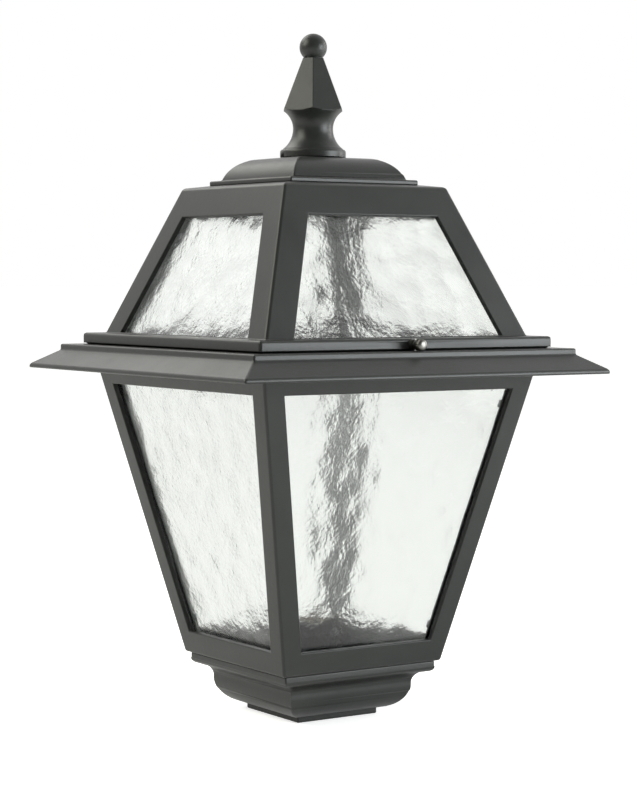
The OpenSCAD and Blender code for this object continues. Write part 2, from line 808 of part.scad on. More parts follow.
// Cap: a square dome on a thin plate, hollow under, with a boss for the finial's stud
module roof_cap() {
    color(graphite) difference() {
        union() {
            difference() {
                union() {
                    mitred() {
                        slab(cap_half, cap_z, plate_top_z);
                        dome_section(0, plate_top_z);
                    }
                    translate([0, 0, dome_top_z - overlap]) cylinder(d = seat_d, h = seat_h + overlap);
                }
                mitred() {
                    dome_section(cap_wall, plate_top_z);
                    slab(dome_half - cap_wall, cap_z - overlap, plate_top_z);
                }
            }
            translate([0, 0, cap_z]) cylinder(d = cap_boss_d, h = dome_top_z - cap_z);
        }
        translate([0, 0, cap_z - overlap]) cylinder(d = stud_hole_d, h = finial_z - cap_z + 2 * overlap);
    }
}

module dome_section(wall, low) {
    slab(dome_at, low, dome_top_z - wall);
    intersection() {
        for (side = [-1, 1]) translate([side * dome_at, dome_centre_z]) circle(dome_r - wall);
        slab(dome_half - wall, low, dome_top_z - wall);
    }
}

// Finial: a disc, a round waisted neck, a six-sided spire and a ball. The neck's hollow curve runs
// on into the six flats, so that their lower edges are scalloped.
module finial() {
    color(graphite) rotate(finial_turn) difference() {
        union() {
            rotate_extrude() {
                translate([0, finial_z]) square([disc_d / 2, disc_h - disc_edge_r]);
                translate([0, finial_z]) square([disc_d / 2 - disc_edge_r, disc_h]);
                translate([disc_d / 2 - disc_edge_r, neck_z - disc_edge_r]) circle(disc_edge_r);
                difference() {
                    translate([0, neck_z - overlap])
                        square([disc_d / 2 - disc_edge_r, waist_z - neck_z + overlap]);
                    translate([waist_d / 2 + waist_r, waist_z]) circle(waist_r);
                }
            }
            intersection() {
                rotate_extrude() difference() {
                    translate([0, waist_z]) square([waist_d / 2 + crown_r, spire_top_z - waist_z]);
                    translate([waist_d / 2 + crown_r, waist_z]) circle(crown_r);
                }
                spire();
            }
            translate([0, 0, ball_z]) sphere(d = ball_d);
        }
        translate([0, 0, finial_z - overlap]) cylinder(d = stud_d + 2 * fixed_gap, h = stud_bore + overlap);
    }
}

// Six tapering flats, carried on below the spire's foot into the neck
module spire() {
    foot = spire_z - waist_z + overlap;
    intersection_for(k = [0:2]) rotate([90, 0, 60 * k]) linear_extrude(reach, center = true)
        taper(spire_low_w / 2 + spire_taper * foot, spire_z - foot, spire_top_w / 2, spire_top_z);
}

// Pane on the front side
module pane(half, slope, low, high, wall) {
    inset = pane_inset(slope, wall);
    on_face(half, slope, low) translate([0, 0, -wall - glass_t]) linear_extrude(glass_t)
        taper(half - inset, 0, half - inset + slope * (high - low), (high - low) * steep(slope));
}

module body_glass(k) {
    color(clear_glass, 0.4) rotate(90 * k)
        pane(body_half(body_pane_z), body_slope, body_pane_z, body_pane_top_z, body_wall);
}

module roof_glass(k) {
    color(clear_glass, 0.4) rotate(90 * k)
        pane(roof_half(roof_pane_z), roof_slope, roof_pane_z, roof_pane_top_z, roof_wall);
}

module body_strip(k) {
    color(graphite) rotate(90 * k) glazing_strip(body_foot_half, body_slope, body_z, body_wall,
        body_strip_low(), body_strip_high());
}

module roof_strip(k) {
    color(graphite) rotate(90 * k) glazing_strip(roof_foot_half, roof_slope, band_top_z, roof_wall,
        roof_strip_low(), roof_strip_high());
}

module body_strip_screws() {
    color(steel) strip_screw_set(body_foot_half, body_slope, body_z, body_wall,
        body_strip_low(), body_strip_high());
}

module roof_strip_screws() {
    color(steel) strip_screw_set(roof_foot_half, roof_slope, band_top_z, roof_wall,
        roof_strip_low(), roof_strip_high());
}

module base_screws() {
    color(steel) in_corners(base_screw_at, flange_z) pan_screw(screw_d, screw_l);
}

module brim_screws() {
    color(steel) in_corners(brim_screw_at, brim_top_z) flat_screw(screw_d, screw_l);
}

// Stud that clamps the finial and the cap to the roof, with its washer and nut
module finial_stud() {
    low = roof_ceiling_z - stud_washer_t - stud_nut_h - stud_tail;
    color(steel) translate([0, 0, low])
        cylinder(d = stud_d, h = finial_z + stud_bore - screw_end_room - low);
}

module finial_washer() {
    color(steel) translate([0, 0, roof_ceiling_z - stud_washer_t])
        ring(stud_washer_d, stud_d + screw_hole_room, stud_washer_t);
}

module finial_nut() {
    color(steel) translate([0, 0, roof_ceiling_z - stud_washer_t - stud_nut_h])
        nut(stud_nut_w, stud_d + 2 * fixed_gap, stud_nut_h);
}

module hinge_pins() {
    color(steel) for (side = [-1, 1])
        translate([side * hinge_x - hinge_pin_l / 2, hinge_y, hinge_z]) rotate([0, 90, 0])
            cylinder(d = hinge_pin_d, h = hinge_pin_l);
}

// Thumb screw: shank, neck and a fluted head with chamfered edges
module thumb_screw() {
    chamfer = 0.5;
    color(steel) translate([0, 0, thumb_z]) rotate([90, 0, 0]) {
        translate([0, 0, thumb_tip]) cylinder(d = thumb_d, h = thumb_head_at - thumb_tip + overlap);
        translate([0, 0, thumb_neck_at]) cylinder(d = thumb_d + 1, h = thumb_neck_l + overlap);
        translate([0, 0, thumb_head_at]) difference() {
            rotate_extrude() polygon([[0, 0], [thumb_head_d / 2 - chamfer, 0], [thumb_head_d / 2, chamfer],
                [thumb_head_d / 2, thumb_head_l - chamfer], [thumb_head_d / 2 - chamfer, thumb_head_l],
                [0, thumb_head_l]]);
            for (k = [0:thumb_flutes - 1]) rotate(360 * k / thumb_flutes)
                translate([thumb_head_d / 2 + flute_r / 2, 0, -overlap])
                    cylinder(r = flute_r, h = thumb_head_l + 2 * overlap);
        }
    }
}

module screw_collar() {
    color(steel) translate([0, -collar_at, thumb_z]) rotate([90, 0, 0])
        ring(thumb_head_d, thumb_d + 2 * running_gap, collar_l);
}

// Bracket: a folded strip that carries the lampholder over the cable hole
module holder_bracket() {
    leg = bracket_l / 2;
    color(steel) difference() {
        translate([0, bracket_w / 2, 0]) rotate([90, 0, 0]) linear_extrude(bracket_w) {
            slab(leg, bridge_z, holder_z);
            for (side = [-1, 1]) {
                translate([side * (leg - bracket_t / 2) - bracket_t / 2, floor_z])
                    square([bracket_t, bracket_h]);
                translate([side * (leg - bracket_t + bracket_foot_l / 2 + bracket_t / 2)
                    - (bracket_foot_l + bracket_t) / 2, floor_z])
                    square([bracket_foot_l + bracket_t, bracket_t]);
            }
        }
        translate([0, 0, bridge_z - overlap])
            cylinder(d = nipple_d + 2 * bush_gap, h = bracket_t + 2 * overlap);
        for (side = [-1, 1]) translate([side * bracket_screw_x, 0, floor_z - overlap])
            cylinder(d = screw_d + screw_hole_room, h = bracket_t + 2 * overlap);
    }
}

module bracket_screws() {
    color(steel) for (side = [-1, 1])
        translate([side * bracket_screw_x, 0, floor_z + bracket_t])
            pan_screw(screw_d, bracket_t + floor_screw_bite);
}

module nipple() {
    color(brass) translate([0, 0, nipple_z]) ring(nipple_d, nipple_d - 2 * nipple_wall, nipple_l);
}

module nipple_nut() {
    color(brass) translate([0, 0, bridge_z - nut_h]) nut(nut_w, nipple_d + 2 * fixed_gap, nut_h);
}

// Lampholder: lower cup with a threaded bore, upper shell with an inner lip
module holder_cup() {
    neck_r = nipple_d / 2 + cup_neck_wall;
    floor_h = nipple_z + nipple_l - holder_z;
    color(black) difference() {
        translate([0, 0, holder_z]) rotate_extrude() polygon([[0, 0], [neck_r, 0], [neck_r, cup_foot_h],
            [holder_d / 2, floor_h + cup_foot_h], [holder_d / 2, holder_cup_h], [0, holder_cup_h]]);
        translate([0, 0, holder_z - overlap])
            cylinder(d = nipple_d + 2 * fixed_gap, h = holder_cup_h + 2 * overlap);
        translate([0, 0, holder_z + floor_h]) cylinder(r = holder_in_r - cup_ledge, h = holder_cup_h);
        translate([0, 0, insert_z]) cylinder(r = holder_in_r, h = holder_cup_h);
    }
}

module holder_shell() {
    lip_r = lamp_thread_d / 2 + sleeve_t + sleeve_gap;
    grip_r = holder_d / 2 - shell_grip_cut;
    grip_z = holder_shell_h - shell_grip_h;
    color(black) translate([0, 0, holder_split_z]) difference() {
        rotate_extrude() polygon([[0, 0], [holder_d / 2, 0], [holder_d / 2, grip_z],
            [grip_r, grip_z + 2 * shell_edge_cut], [grip_r, holder_shell_h - shell_edge_cut],
            [grip_r - shell_edge_cut, holder_shell_h], [0, holder_shell_h]]);
        translate([0, 0, -overlap])
            cylinder(r = holder_in_r, h = holder_shell_h - shell_lip_h + overlap);
        cylinder(r = lip_r, h = holder_shell_h + overlap);
    }
}

module holder_insert() {
    color(porcelain) translate([0, 0, insert_z]) difference() {
        cylinder(r = holder_in_r - insert_gap, h = insert_h);
        for (side = [-1, 1]) translate([side * contact_screw_x, 0, -overlap])
            cylinder(d = wire_d + core_hole_room, h = insert_h + 2 * overlap);
        translate([0, 0, insert_h - contact_h])
            cylinder(d = contact_d + 2 * fixed_gap, h = contact_h + overlap);
    }
}

module holder_sleeve() {
    color(brass) translate([0, 0, insert_top_z])
        ring(lamp_thread_d + 2 * sleeve_t, lamp_thread_d, sleeve_h);
}

module holder_contact() {
    color(brass) translate([0, 0, insert_top_z - contact_h]) {
        cylinder(d = contact_d, h = contact_h / 2);
        cylinder(d = contact_d / 2, h = contact_h);
    }
}

// Terminal block: three brass sleeves in an insulating body, each with its screw
module terminal_block() {
    color(porcelain) difference() {
        translate([-terminal_size.x / 2, terminal_y - terminal_size.y / 2, floor_z]) cube(terminal_size);
        for (k = [-1:1]) translate([k * terminal_pitch, terminal_y, 0]) {
            translate([0, terminal_size.y / 2 + overlap, terminal_z]) rotate([90, 0, 0])
                cylinder(d = terminal_sleeve_d + 2 * fixed_gap, h = terminal_size.y + 2 * overlap);
            translate([0, 0, terminal_z])
                cylinder(d = 2 * terminal_screw_d + screw_hole_room, h = terminal_size.z);
        }
        for (side = [-1, 1]) translate([side * terminal_pitch / 2, terminal_y, floor_z - overlap])
            cylinder(d = terminal_fixing_d + tight_hole_room, h = terminal_size.z + 2 * overlap);
    }
}

module terminal_sleeves() {
    color(brass) for (k = [-1:1]) translate([k * terminal_pitch, terminal_y, terminal_z]) difference() {
        translate([0, terminal_size.y / 2, 0]) rotate([90, 0, 0])
            ring(terminal_sleeve_d, terminal_sleeve_d - 2 * terminal_wall, terminal_size.y);
        cylinder(d = terminal_screw_d + 2 * fixed_gap, h = terminal_sleeve_d);
    }
}

module terminal_screws() {
    low = terminal_z + wire_d / 2 + terminal_screw_gap;
    color(brass) for (k = [-1:1])
        translate([k * terminal_pitch, terminal_y, low + terminal_screw_l])
            pan_screw(terminal_screw_d, terminal_screw_l);
}

module terminal_fixings() {
    color(steel) for (side = [-1, 1])
        translate([side * terminal_pitch / 2, terminal_y, floor_z + terminal_size.z])
            pan_screw(terminal_fixing_d, terminal_size.z + terminal_fixing_bite);
}

// Earth tag: a ring under the earth screw with a barrel round the core
module earth_tag() {
    color(brass) translate([earth_at.x, earth_at.y, 0]) difference() {
        union() {
            translate([0, 0, floor_z + earth_boss_h]) cylinder(d = earth_tag_d, h = earth_tag_t);
            translate([earth_barrel_x - earth_at.x - overlap, -wire_d / 2, floor_z + earth_boss_h])
                cube([earth_at.x - earth_barrel_x, wire_d, earth_tag_t]);
            translate([earth_barrel_x - earth_at.x - earth_barrel_l, 0, earth_barrel_z]) rotate([0, 90, 0])
                cylinder(d = earth_barrel_d, h = earth_barrel_l);
        }
        translate([0, 0, floor_z])
            cylinder(d = screw_d + tight_hole_room, h = earth_boss_h + earth_tag_t + overlap);
        translate([earth_barrel_x - earth_at.x - earth_barrel_l - overlap, 0, earth_barrel_z])
            rotate([0, 90, 0]) cylinder(d = wire_d + 2 * bush_gap, h = earth_barrel_l);
    }
}

module earth_screw() {
    color(steel) translate([earth_at.x, earth_at.y, floor_z + earth_boss_h + earth_tag_t])
        pan_screw(screw_d, earth_boss_h + earth_tag_t + earth_screw_bite);
}

module wire_live() {
    color("saddlebrown") core(live_route);
}

module wire_neutral() {
    color("royalblue") core(neutral_route);
}

module wire_earth() {
    color("yellowgreen") core(earth_route);
}

// Rubber bush in the cable hole, with a flange on the floor
module cable_bush() {
    bore = cable_hole_d - 2 * bush_wall;
    color(black) difference() {
        union() {
            translate([0, 0, 0.5]) cylinder(d = cable_hole_d - 2 * bush_gap, h = floor_z);
            translate([0, 0, floor_z]) cylinder(d = cable_hole_d + 2 * bush_flange_w, h = bush_flange_h);
        }
        translate([0, 0, -overlap]) cylinder(d = bore, h = floor_z + bush_flange_h + 2 * overlap);
    }
}

base_cup();
body_frame();
brim();
brim_upstand();
roof_frame();
roof_cap();
finial();
for (k = [0:3]) {
    body_glass(k);
    roof_glass(k);
    body_strip(k);
    roof_strip(k);
}
body_strip_screws();
roof_strip_screws();
base_screws();
brim_screws();
finial_stud();
finial_washer();
finial_nut();
hinge_pins();
thumb_screw();
screw_collar();
holder_bracket();
bracket_screws();
nipple();
nipple_nut();
holder_cup();
holder_insert();
holder_sleeve();
holder_contact();
holder_shell();
terminal_block();
terminal_sleeves();
terminal_screws();
terminal_fixings();
earth_tag();
earth_screw();
wire_live();
wire_neutral();
wire_earth();
cable_bush();
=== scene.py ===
# %% [markdown]
# # A garden lamp head in cast aluminium and hammered glass
#
# The head is a square lantern: a moulded foot, a body frame that widens upwards, a broad brim,
# a hinged roof and a turned finial. The drawing office has already made every piece as a plain
# solid in its right place, so this lesson adds what a camera would see: softened cast edges,
# a powder-coated skin, rippled glass, plated metal and studio light.

# %% Load the plain solids
import math

import bmesh
import bpy
from mathutils import Matrix, Vector


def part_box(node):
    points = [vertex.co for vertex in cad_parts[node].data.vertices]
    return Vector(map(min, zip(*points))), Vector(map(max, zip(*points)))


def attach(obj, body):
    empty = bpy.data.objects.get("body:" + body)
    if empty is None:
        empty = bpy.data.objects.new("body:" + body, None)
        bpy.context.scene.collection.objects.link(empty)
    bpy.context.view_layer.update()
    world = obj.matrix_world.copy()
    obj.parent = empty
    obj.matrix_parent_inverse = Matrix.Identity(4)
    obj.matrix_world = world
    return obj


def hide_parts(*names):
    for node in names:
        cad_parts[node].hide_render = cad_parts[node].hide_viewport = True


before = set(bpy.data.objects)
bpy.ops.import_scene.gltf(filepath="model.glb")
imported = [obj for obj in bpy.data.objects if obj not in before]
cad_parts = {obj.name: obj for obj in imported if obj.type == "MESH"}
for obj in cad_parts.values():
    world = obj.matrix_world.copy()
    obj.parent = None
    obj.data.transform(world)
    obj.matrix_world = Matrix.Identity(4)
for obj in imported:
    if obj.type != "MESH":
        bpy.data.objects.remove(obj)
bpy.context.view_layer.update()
SIDES = ["front", "right", "back", "left"]
CORNERS = ["back_right", "back_left", "front_left", "front_right"]

# %% [markdown]
# ## The camera
#
# The photograph was taken from the front left, a little above the brim, with a long lens from
# about 1.6 m. The numbers below came from matching the corners of the castings to the picture.
# A camera can be turned by hand until it looks right, but building its matrix from an azimuth,
# an elevation and a small roll keeps each number readable.

# %% Place the camera
AZIMUTH, ELEVATION, ROLL = math.radians(-33.83), math.radians(3.16), math.radians(0.17)
DISTANCE, AIM_HEIGHT, AIM_RIGHT = 1.64559, 0.23177, 0.00462
FOCAL_PIXELS, PICTURE_HEIGHT, SENSOR = 2224.81, 800, 36.0

back = Vector((math.sin(AZIMUTH) * math.cos(ELEVATION),
               -math.cos(AZIMUTH) * math.cos(ELEVATION), math.sin(ELEVATION)))
level = Vector((math.cos(AZIMUTH), math.sin(AZIMUTH), 0))
upright = back.cross(level)
across = level * math.cos(ROLL) + upright * math.sin(ROLL)
above = upright * math.cos(ROLL) - level * math.sin(ROLL)
eye = Vector((0, 0, AIM_HEIGHT)) + back * DISTANCE + level * AIM_RIGHT

camera = bpy.data.objects.new("camera", bpy.data.cameras.new("camera"))
bpy.context.scene.collection.objects.link(camera)
camera.data.sensor_width = SENSOR
camera.data.lens = FOCAL_PIXELS / PICTURE_HEIGHT * SENSOR
camera.matrix_world = Matrix.Translation(eye) @ Matrix((across, above, back)).transposed().to_4x4()
bpy.context.scene.camera = camera
print("lens", round(camera.data.lens, 1), "mm, eye at", [round(v, 3) for v in eye])

# %% [markdown]
# ## Small helpers for node trees
#
# Materials, light and geometry are all built from nodes. One helper adds a node and sets its
# sockets and options, so that each tree below reads as a list of steps.

# %% Helpers for nodes


def add(tree, kind, inputs=None, **options):
    """Adds a node, sets its options, and fills or links its inputs by name or number."""
    node = tree.nodes.new(kind)
    for key, value in options.items():
        setattr(node, key, value)
    for key, value in (inputs or {}).items():
        socket = node.inputs[key]
        if isinstance(value, bpy.types.NodeSocket):
            tree.links.new(value, socket)
        else:
            socket.default_value = value
    return node


def maths(tree, operation, *values):
    """A Math node; its result is a socket."""
    return add(tree, "ShaderNodeMath", dict(enumerate(values)), operation=operation).outputs[0]


def seen_rays(tree, mirrored=1.0):
    """1 for rays that show the scene, directly or through glass, and a share of it when mirrored."""
    path = add(tree, "ShaderNodeLightPath").outputs
    glossy = maths(tree, "MULTIPLY", path["Is Glossy Ray"], mirrored)
    seen = maths(tree, "MAXIMUM", path["Is Camera Ray"], glossy)
    bounces = maths(tree, "ADD", path["Diffuse Depth"], path["Glossy Depth"])
    direct = maths(tree, "LESS_THAN", bounces, 0.5)
    return maths(tree, "MAXIMUM", seen, maths(tree, "MULTIPLY", path["Is Transmission Ray"], direct))


# %% [markdown]
# ## Studio light
#
# The picture was made in a white studio with a soft box on each side of the camera, which the ball
# and the neck of the finial mirror as two pale bands. A narrow strip light and a box under the
# ceiling rim the far edges. The surroundings are white where they are seen, directly or through
# the glass, and dimmer where they only light the metal. That keeps the background white without
# flooding the dark paint with light. Mirrored, the backdrop behind the lantern is white and the
# room in front of it is dimmer, as in any studio.
#
# Two values are choices for the eye and not for the physics. The lamps are hidden from rays that
# come through a pane, so the surroundings light the inside in their place, and more strongly than
# the outside. And the background seen through the glass is a little over white, to make up for
# what two panes take from it.

# %% Light the set
WHITE = (1, 1, 1, 1)
FILL_COLOUR = (0.97, 1.0, 0.97, 1)
FILL_STRENGTH = 0.42
ROOM_STRENGTH = 0.12
THROUGH_GLASS = 0.15
INDOOR_GAIN = 2.6
ROOM_SIDE = (-0.72, -0.69, 0.0)
ROOM_FADE = (-0.3, 0.5)

world = bpy.data.worlds.new("studio")
world.use_nodes = True
tree = world.node_tree
tree.nodes.clear()
sky = add(tree, "ShaderNodeTexCoord").outputs["Generated"]
heading = add(tree, "ShaderNodeVectorMath", {0: sky, 1: ROOM_SIDE}, operation="DOT_PRODUCT").outputs["Value"]
room = add(tree, "ShaderNodeMapRange", {0: heading, 1: ROOM_FADE[0], 2: ROOM_FADE[1],
                                        3: 0.0, 4: 1.0 - ROOM_STRENGTH}).outputs[0]
path = add(tree, "ShaderNodeLightPath").outputs
dimming = maths(tree, "MULTIPLY", room, path["Is Glossy Ray"])
through = maths(tree, "MULTIPLY", path["Is Transmission Ray"], THROUGH_GLASS)
shown = add(tree, "ShaderNodeBackground", {
    "Color": WHITE, "Strength": maths(tree, "ADD", through, maths(tree, "SUBTRACT", 1.0, dimming))})
indoors = maths(tree, "MULTIPLY", path["Is Transmission Ray"], INDOOR_GAIN)
fill = add(tree, "ShaderNodeBackground", {
    "Color": FILL_COLOUR, "Strength": maths(tree, "MULTIPLY_ADD", indoors, FILL_STRENGTH, FILL_STRENGTH)})
mix = add(tree, "ShaderNodeMixShader", {0: seen_rays(tree), 1: fill.outputs[0], 2: shown.outputs[0]})
add(tree, "ShaderNodeOutputWorld", {"Surface": mix.outputs[0]})
bpy.context.scene.world = world

LAMPS = {  # azimuth and elevation in degrees, distance, width and height in metres, watts, colour
    "soft_box_right": (38, 7, 2.3, 1.5, 1.1, 45, (0.94, 0.98, 1.0)),
    "strip_light_right": (82, 12, 2.2, 0.5, 1.5, 14, (1.0, 1.0, 0.97)),
    "soft_box_left": (-112, 34, 2.3, 1.3, 1.4, 31, (1.0, 0.98, 0.87)),
    "ceiling_box": (-165, 44, 2.4, 1.8, 1.2, 16, (1.0, 0.99, 0.93)),
}
AIM = Vector((0, 0, 0.28))
for name, (azimuth, elevation, distance, wide, tall, watts, colour) in LAMPS.items():
    light = bpy.data.lights.new(name, "AREA")
    light.shape, light.size, light.size_y = "RECTANGLE", wide, tall
    light.energy, light.color = watts, colour
    lamp = bpy.data.objects.new(name, light)
    bpy.context.scene.collection.objects.link(lamp)
    lamp.visible_camera = lamp.visible_transmission = False
    turn, rise = math.radians(azimuth), math.radians(elevation)
    away = Vector((math.sin(turn) * math.cos(rise), -math.cos(turn) * math.cos(rise), math.sin(rise)))
    place = AIM + away * distance
    lamp.matrix_world = Matrix.Translation(place) @ away.to_track_quat("Z", "Y").to_matrix().to_4x4()
    print(name, "at", [round(v, 2) for v in place], "with", watts, "W")

# %% [markdown]
# ## The floor
#
# The head stands on white paper that reaches past the horizon. A real sheet would have to be lit
# on its own to stay white beside so dark a lamp. Here it glows a little for the rays that show it,
# and still takes the lamp's soft shadow. Seen through a pane it would be brighter than white, so
# for those rays it answers less to the lights.

# %% Lay the floor
FLOOR_REACH = 60.0
PAPER, PAPER_THROUGH_GLASS = (0.88, 0.88, 0.88, 1), (0.15, 0.15, 0.15, 1)
GLOW, MORE_THROUGH_GLASS, MIRRORED_SHARE = 0.66, 0.14, 0.42
mesh = bpy.data.meshes.new("floor")
mesh.from_pydata([(x * FLOOR_REACH, y * FLOOR_REACH, 0) for x, y in ((-1, -1), (1, -1), (1, 1), (-1, 1))],
                 [], [(0, 1, 2, 3)])
floor = bpy.data.objects.new("floor", mesh)
bpy.context.scene.collection.objects.link(floor)
paper = bpy.data.materials.new("white_paper")
paper.use_nodes = True
tree = paper.node_tree
sheet = tree.nodes["Principled BSDF"]
through = add(tree, "ShaderNodeLightPath").outputs["Is Transmission Ray"]
plain = add(tree, "ShaderNodeMix", {0: through, 6: PAPER, 7: PAPER_THROUGH_GLASS}, data_type="RGBA")
tree.links.new(plain.outputs[2], sheet.inputs["Base Color"])
sheet.inputs["Roughness"].default_value = 0.9
sheet.inputs["Emission Color"].default_value = WHITE
glow = maths(tree, "MULTIPLY_ADD", through, MORE_THROUGH_GLASS, GLOW)
shining = maths(tree, "MULTIPLY", seen_rays(tree, MIRRORED_SHARE), glow)
tree.links.new(shining, sheet.inputs["Emission Strength"])
mesh.materials.append(paper)
print("floor", 2 * FLOOR_REACH, "m wide, paper tree with", len(tree.nodes), "nodes")

# %% [markdown]
# ## Powder coat on the castings
#
# Powder coat is paint that melts over the metal. Close up it has a fine grain, like the skin of
# an orange, and a satin shine that changes a little from place to place. A photograph of paint
# could be wrapped over the castings, but noise in the piece's own coordinates has no seams and
# keeps its scale in millimetres. The grain is a node group, because every coated or moulded
# surface here uses it with its own sizes. The far post is a pale grey streak in the photograph, so
# the glazing strips get a paler coat than the castings: painted light, for the light that reaches
# the far post through the glass. The thumb screw's nickel is painted far darker than bright plating:
# painted shade, for the dark surroundings that it mirrors.

# %% A group for fine grain


def group(name, inputs, outputs):
    """A shader group with float inputs (name: value) and typed outputs."""
    made = bpy.data.node_groups.new(name, "ShaderNodeTree")
    for key, value in inputs.items():
        made.interface.new_socket(key, in_out="INPUT", socket_type="NodeSocketFloat").default_value = value
    for key in outputs:
        made.interface.new_socket(key, in_out="OUTPUT", socket_type="NodeSocketFloat")
    return made, made.nodes.new("NodeGroupInput"), made.nodes.new("NodeGroupOutput")


def noise(tree, vector, scale, detail=2.0, roughness=0.5):
    """Noise from 0 to 1 with a given number of grains in a metre."""
    return add(tree, "ShaderNodeTexNoise", {"Vector": vector, "Scale": scale, "Detail": detail,
                                            "Roughness": roughness}).outputs[0]


PEEL_SCALE, PEEL_HEIGHT = 0.22, 1.3
SPECK_RANGE = (0.6, 0.72)
grain, given, result = group("surface_grain", {"Grain Size": 0.0006, "Patch Size": 0.03, "Patch Depth": 0.2},
                             ["Height", "Patches", "Specks"])
place = add(grain, "ShaderNodeTexCoord").outputs["Object"]
per_metre = maths(grain, "DIVIDE", 1.0, given.outputs["Grain Size"])
fine = noise(grain, place, per_metre, 3.0, 0.6)
peel = noise(grain, place, maths(grain, "MULTIPLY", per_metre, PEEL_SCALE), 1.0)
height = maths(grain, "ADD", fine, maths(grain, "MULTIPLY", peel, PEEL_HEIGHT))
grain.links.new(height, result.inputs["Height"])
patch = noise(grain, place, maths(grain, "DIVIDE", 1.0, given.outputs["Patch Size"]), 4.0, 0.6)
centred = maths(grain, "SUBTRACT", patch, 0.5)
grain.links.new(maths(grain, "ADD", maths(grain, "MULTIPLY", centred, given.outputs["Patch Depth"]), 0.5),
                result.inputs["Patches"])
specks = add(grain, "ShaderNodeMapRange", {0: fine, 1: SPECK_RANGE[0], 2: SPECK_RANGE[1]}).outputs[0]
grain.links.new(specks, result.inputs["Specks"])
print("grain group with", len(grain.nodes), "nodes")

# %% A maker of coated and moulded finishes
SPECK_SHARE = 0.35


def finish(name, dark, light, rough, grain_size, bump, patch_size=0.03, patch_depth=1.0, **others):
    """A finish whose colour and shine drift between two values, over a fine grain."""
    made = bpy.data.materials.new(name)
    made.use_nodes = True
    tree = made.node_tree
    skin = tree.nodes["Principled BSDF"]
    for key, value in others.items():
        skin.inputs[key.replace("_", " ")].default_value = value
    texture = add(tree, "ShaderNodeGroup", node_tree=grain)
    texture.inputs["Grain Size"].default_value = grain_size
    texture.inputs["Patch Size"].default_value = patch_size
    texture.inputs["Patch Depth"].default_value = patch_depth
    patches = texture.outputs["Patches"]
    colour = add(tree, "ShaderNodeMix", {0: patches, 6: (*dark, 1), 7: (*light, 1)}, data_type="RGBA")
    specked = maths(tree, "MULTIPLY", texture.outputs["Specks"], SPECK_SHARE)
    speckled = add(tree, "ShaderNodeMix", {0: specked, 6: colour.outputs[2], 7: (*light, 1)},
                   data_type="RGBA")
    tree.links.new(speckled.outputs[2], skin.inputs["Base Color"])
    shine = add(tree, "ShaderNodeMapRange", {0: patches, 1: 0.2, 2: 0.8, 3: rough[0], 4: rough[1]})
    tree.links.new(shine.outputs[0], skin.inputs["Roughness"])
    relief = add(tree, "ShaderNodeBump", {"Strength": 1.0, "Distance": bump,
                                          "Height": texture.outputs["Height"]})
    tree.links.new(relief.outputs[0], skin.inputs["Normal"])
    return made


coat = finish("graphite_powder_coat", (0.017, 0.0185, 0.017), (0.027, 0.029, 0.026), (0.30, 0.40),
              0.0008, 0.00004, Specular_IOR_Level=0.36)
# Painted light: the strips are much paler than the castings, for the light on the far post seen through the
# glass.
strip_coat_painted_light = finish("strip_coat_painted_light", (0.20, 0.215, 0.20), (0.28, 0.295, 0.28), (0.38, 0.50), 0.0005, 0.00002)
# Painted shade: this nickel is far darker than bright plating, for the dark surroundings it mirrors.
nickel = finish("nickel_painted_dark", (0.14, 0.137, 0.128), (0.22, 0.215, 0.20), (0.28, 0.40),
                0.0004, 0.000004, Metallic=1.0)
zinc = finish("zinc_plate", (0.46, 0.47, 0.49), (0.66, 0.67, 0.68), (0.25, 0.42),
              0.0003, 0.000008, patch_size=0.004, Metallic=1.0)
brass = finish("turned_brass", (0.62, 0.43, 0.17), (0.80, 0.60, 0.27), (0.18, 0.34),
               0.0003, 0.000006, patch_size=0.006, Metallic=1.0)
bakelite = finish("black_bakelite", (0.012, 0.012, 0.013), (0.022, 0.021, 0.021), (0.22, 0.34),
                  0.0009, 0.000008)
ceramic = finish("white_porcelain", (0.70, 0.68, 0.62), (0.80, 0.79, 0.75), (0.16, 0.30),
                 0.0012, 0.00001, Coat_Weight=0.4)
rubber = finish("black_rubber", (0.016, 0.016, 0.017), (0.032, 0.031, 0.030), (0.6, 0.78),
                0.0005, 0.00003)
brown = finish("brown_insulation", (0.13, 0.05, 0.02), (0.19, 0.08, 0.035), (0.4, 0.52), 0.0006, 0.00001)
blue = finish("blue_insulation", (0.03, 0.10, 0.40), (0.05, 0.15, 0.50), (0.4, 0.52), 0.0006, 0.00001)
green = finish("green_insulation", (0.10, 0.38, 0.06), (0.62, 0.60, 0.05), (0.4, 0.52), 0.0006, 0.00001,
               patch_size=0.004, patch_depth=6.0)
print(len(bpy.data.materials), "materials so far")

# %% Give each solid its finish
FINISHES = {
    coat: ["base_cup", "body_frame", "brim", "brim_upstand", "roof_frame", "roof_cap", "finial"],
    strip_coat_painted_light: [f"{part}_strip_{corner}" for part in ("body", "roof") for corner in CORNERS],
    nickel: ["thumb_screw", "screw_collar"],
    zinc: ["body_strip_screws", "roof_strip_screws", "base_screws", "brim_screws", "finial_stud",
           "finial_washer", "finial_nut", "hinge_pins", "holder_bracket", "bracket_screws",
           "terminal_fixings", "earth_screw"],
    brass: ["nipple", "nipple_nut", "holder_sleeve", "holder_contact", "terminal_sleeves",
            "terminal_screws", "earth_tag"],
    bakelite: ["holder_cup", "holder_shell"],
    ceramic: ["holder_insert", "terminal_block"],
    rubber: ["cable_bush"], brown: ["wire_live"], blue: ["wire_neutral"], green: ["wire_earth"],
}


def dress(piece, material):
    """One material for the whole piece."""
    piece.data.materials.clear()
    piece.data.materials.append(material)


for material, names in FINISHES.items():
    for name in names:
        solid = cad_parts[name]
        if not solid.material_slots:
            solid.data.materials.append(material)
        for slot in solid.material_slots:
            slot.material = material
    print(material.name, "on", len(names), "solids")

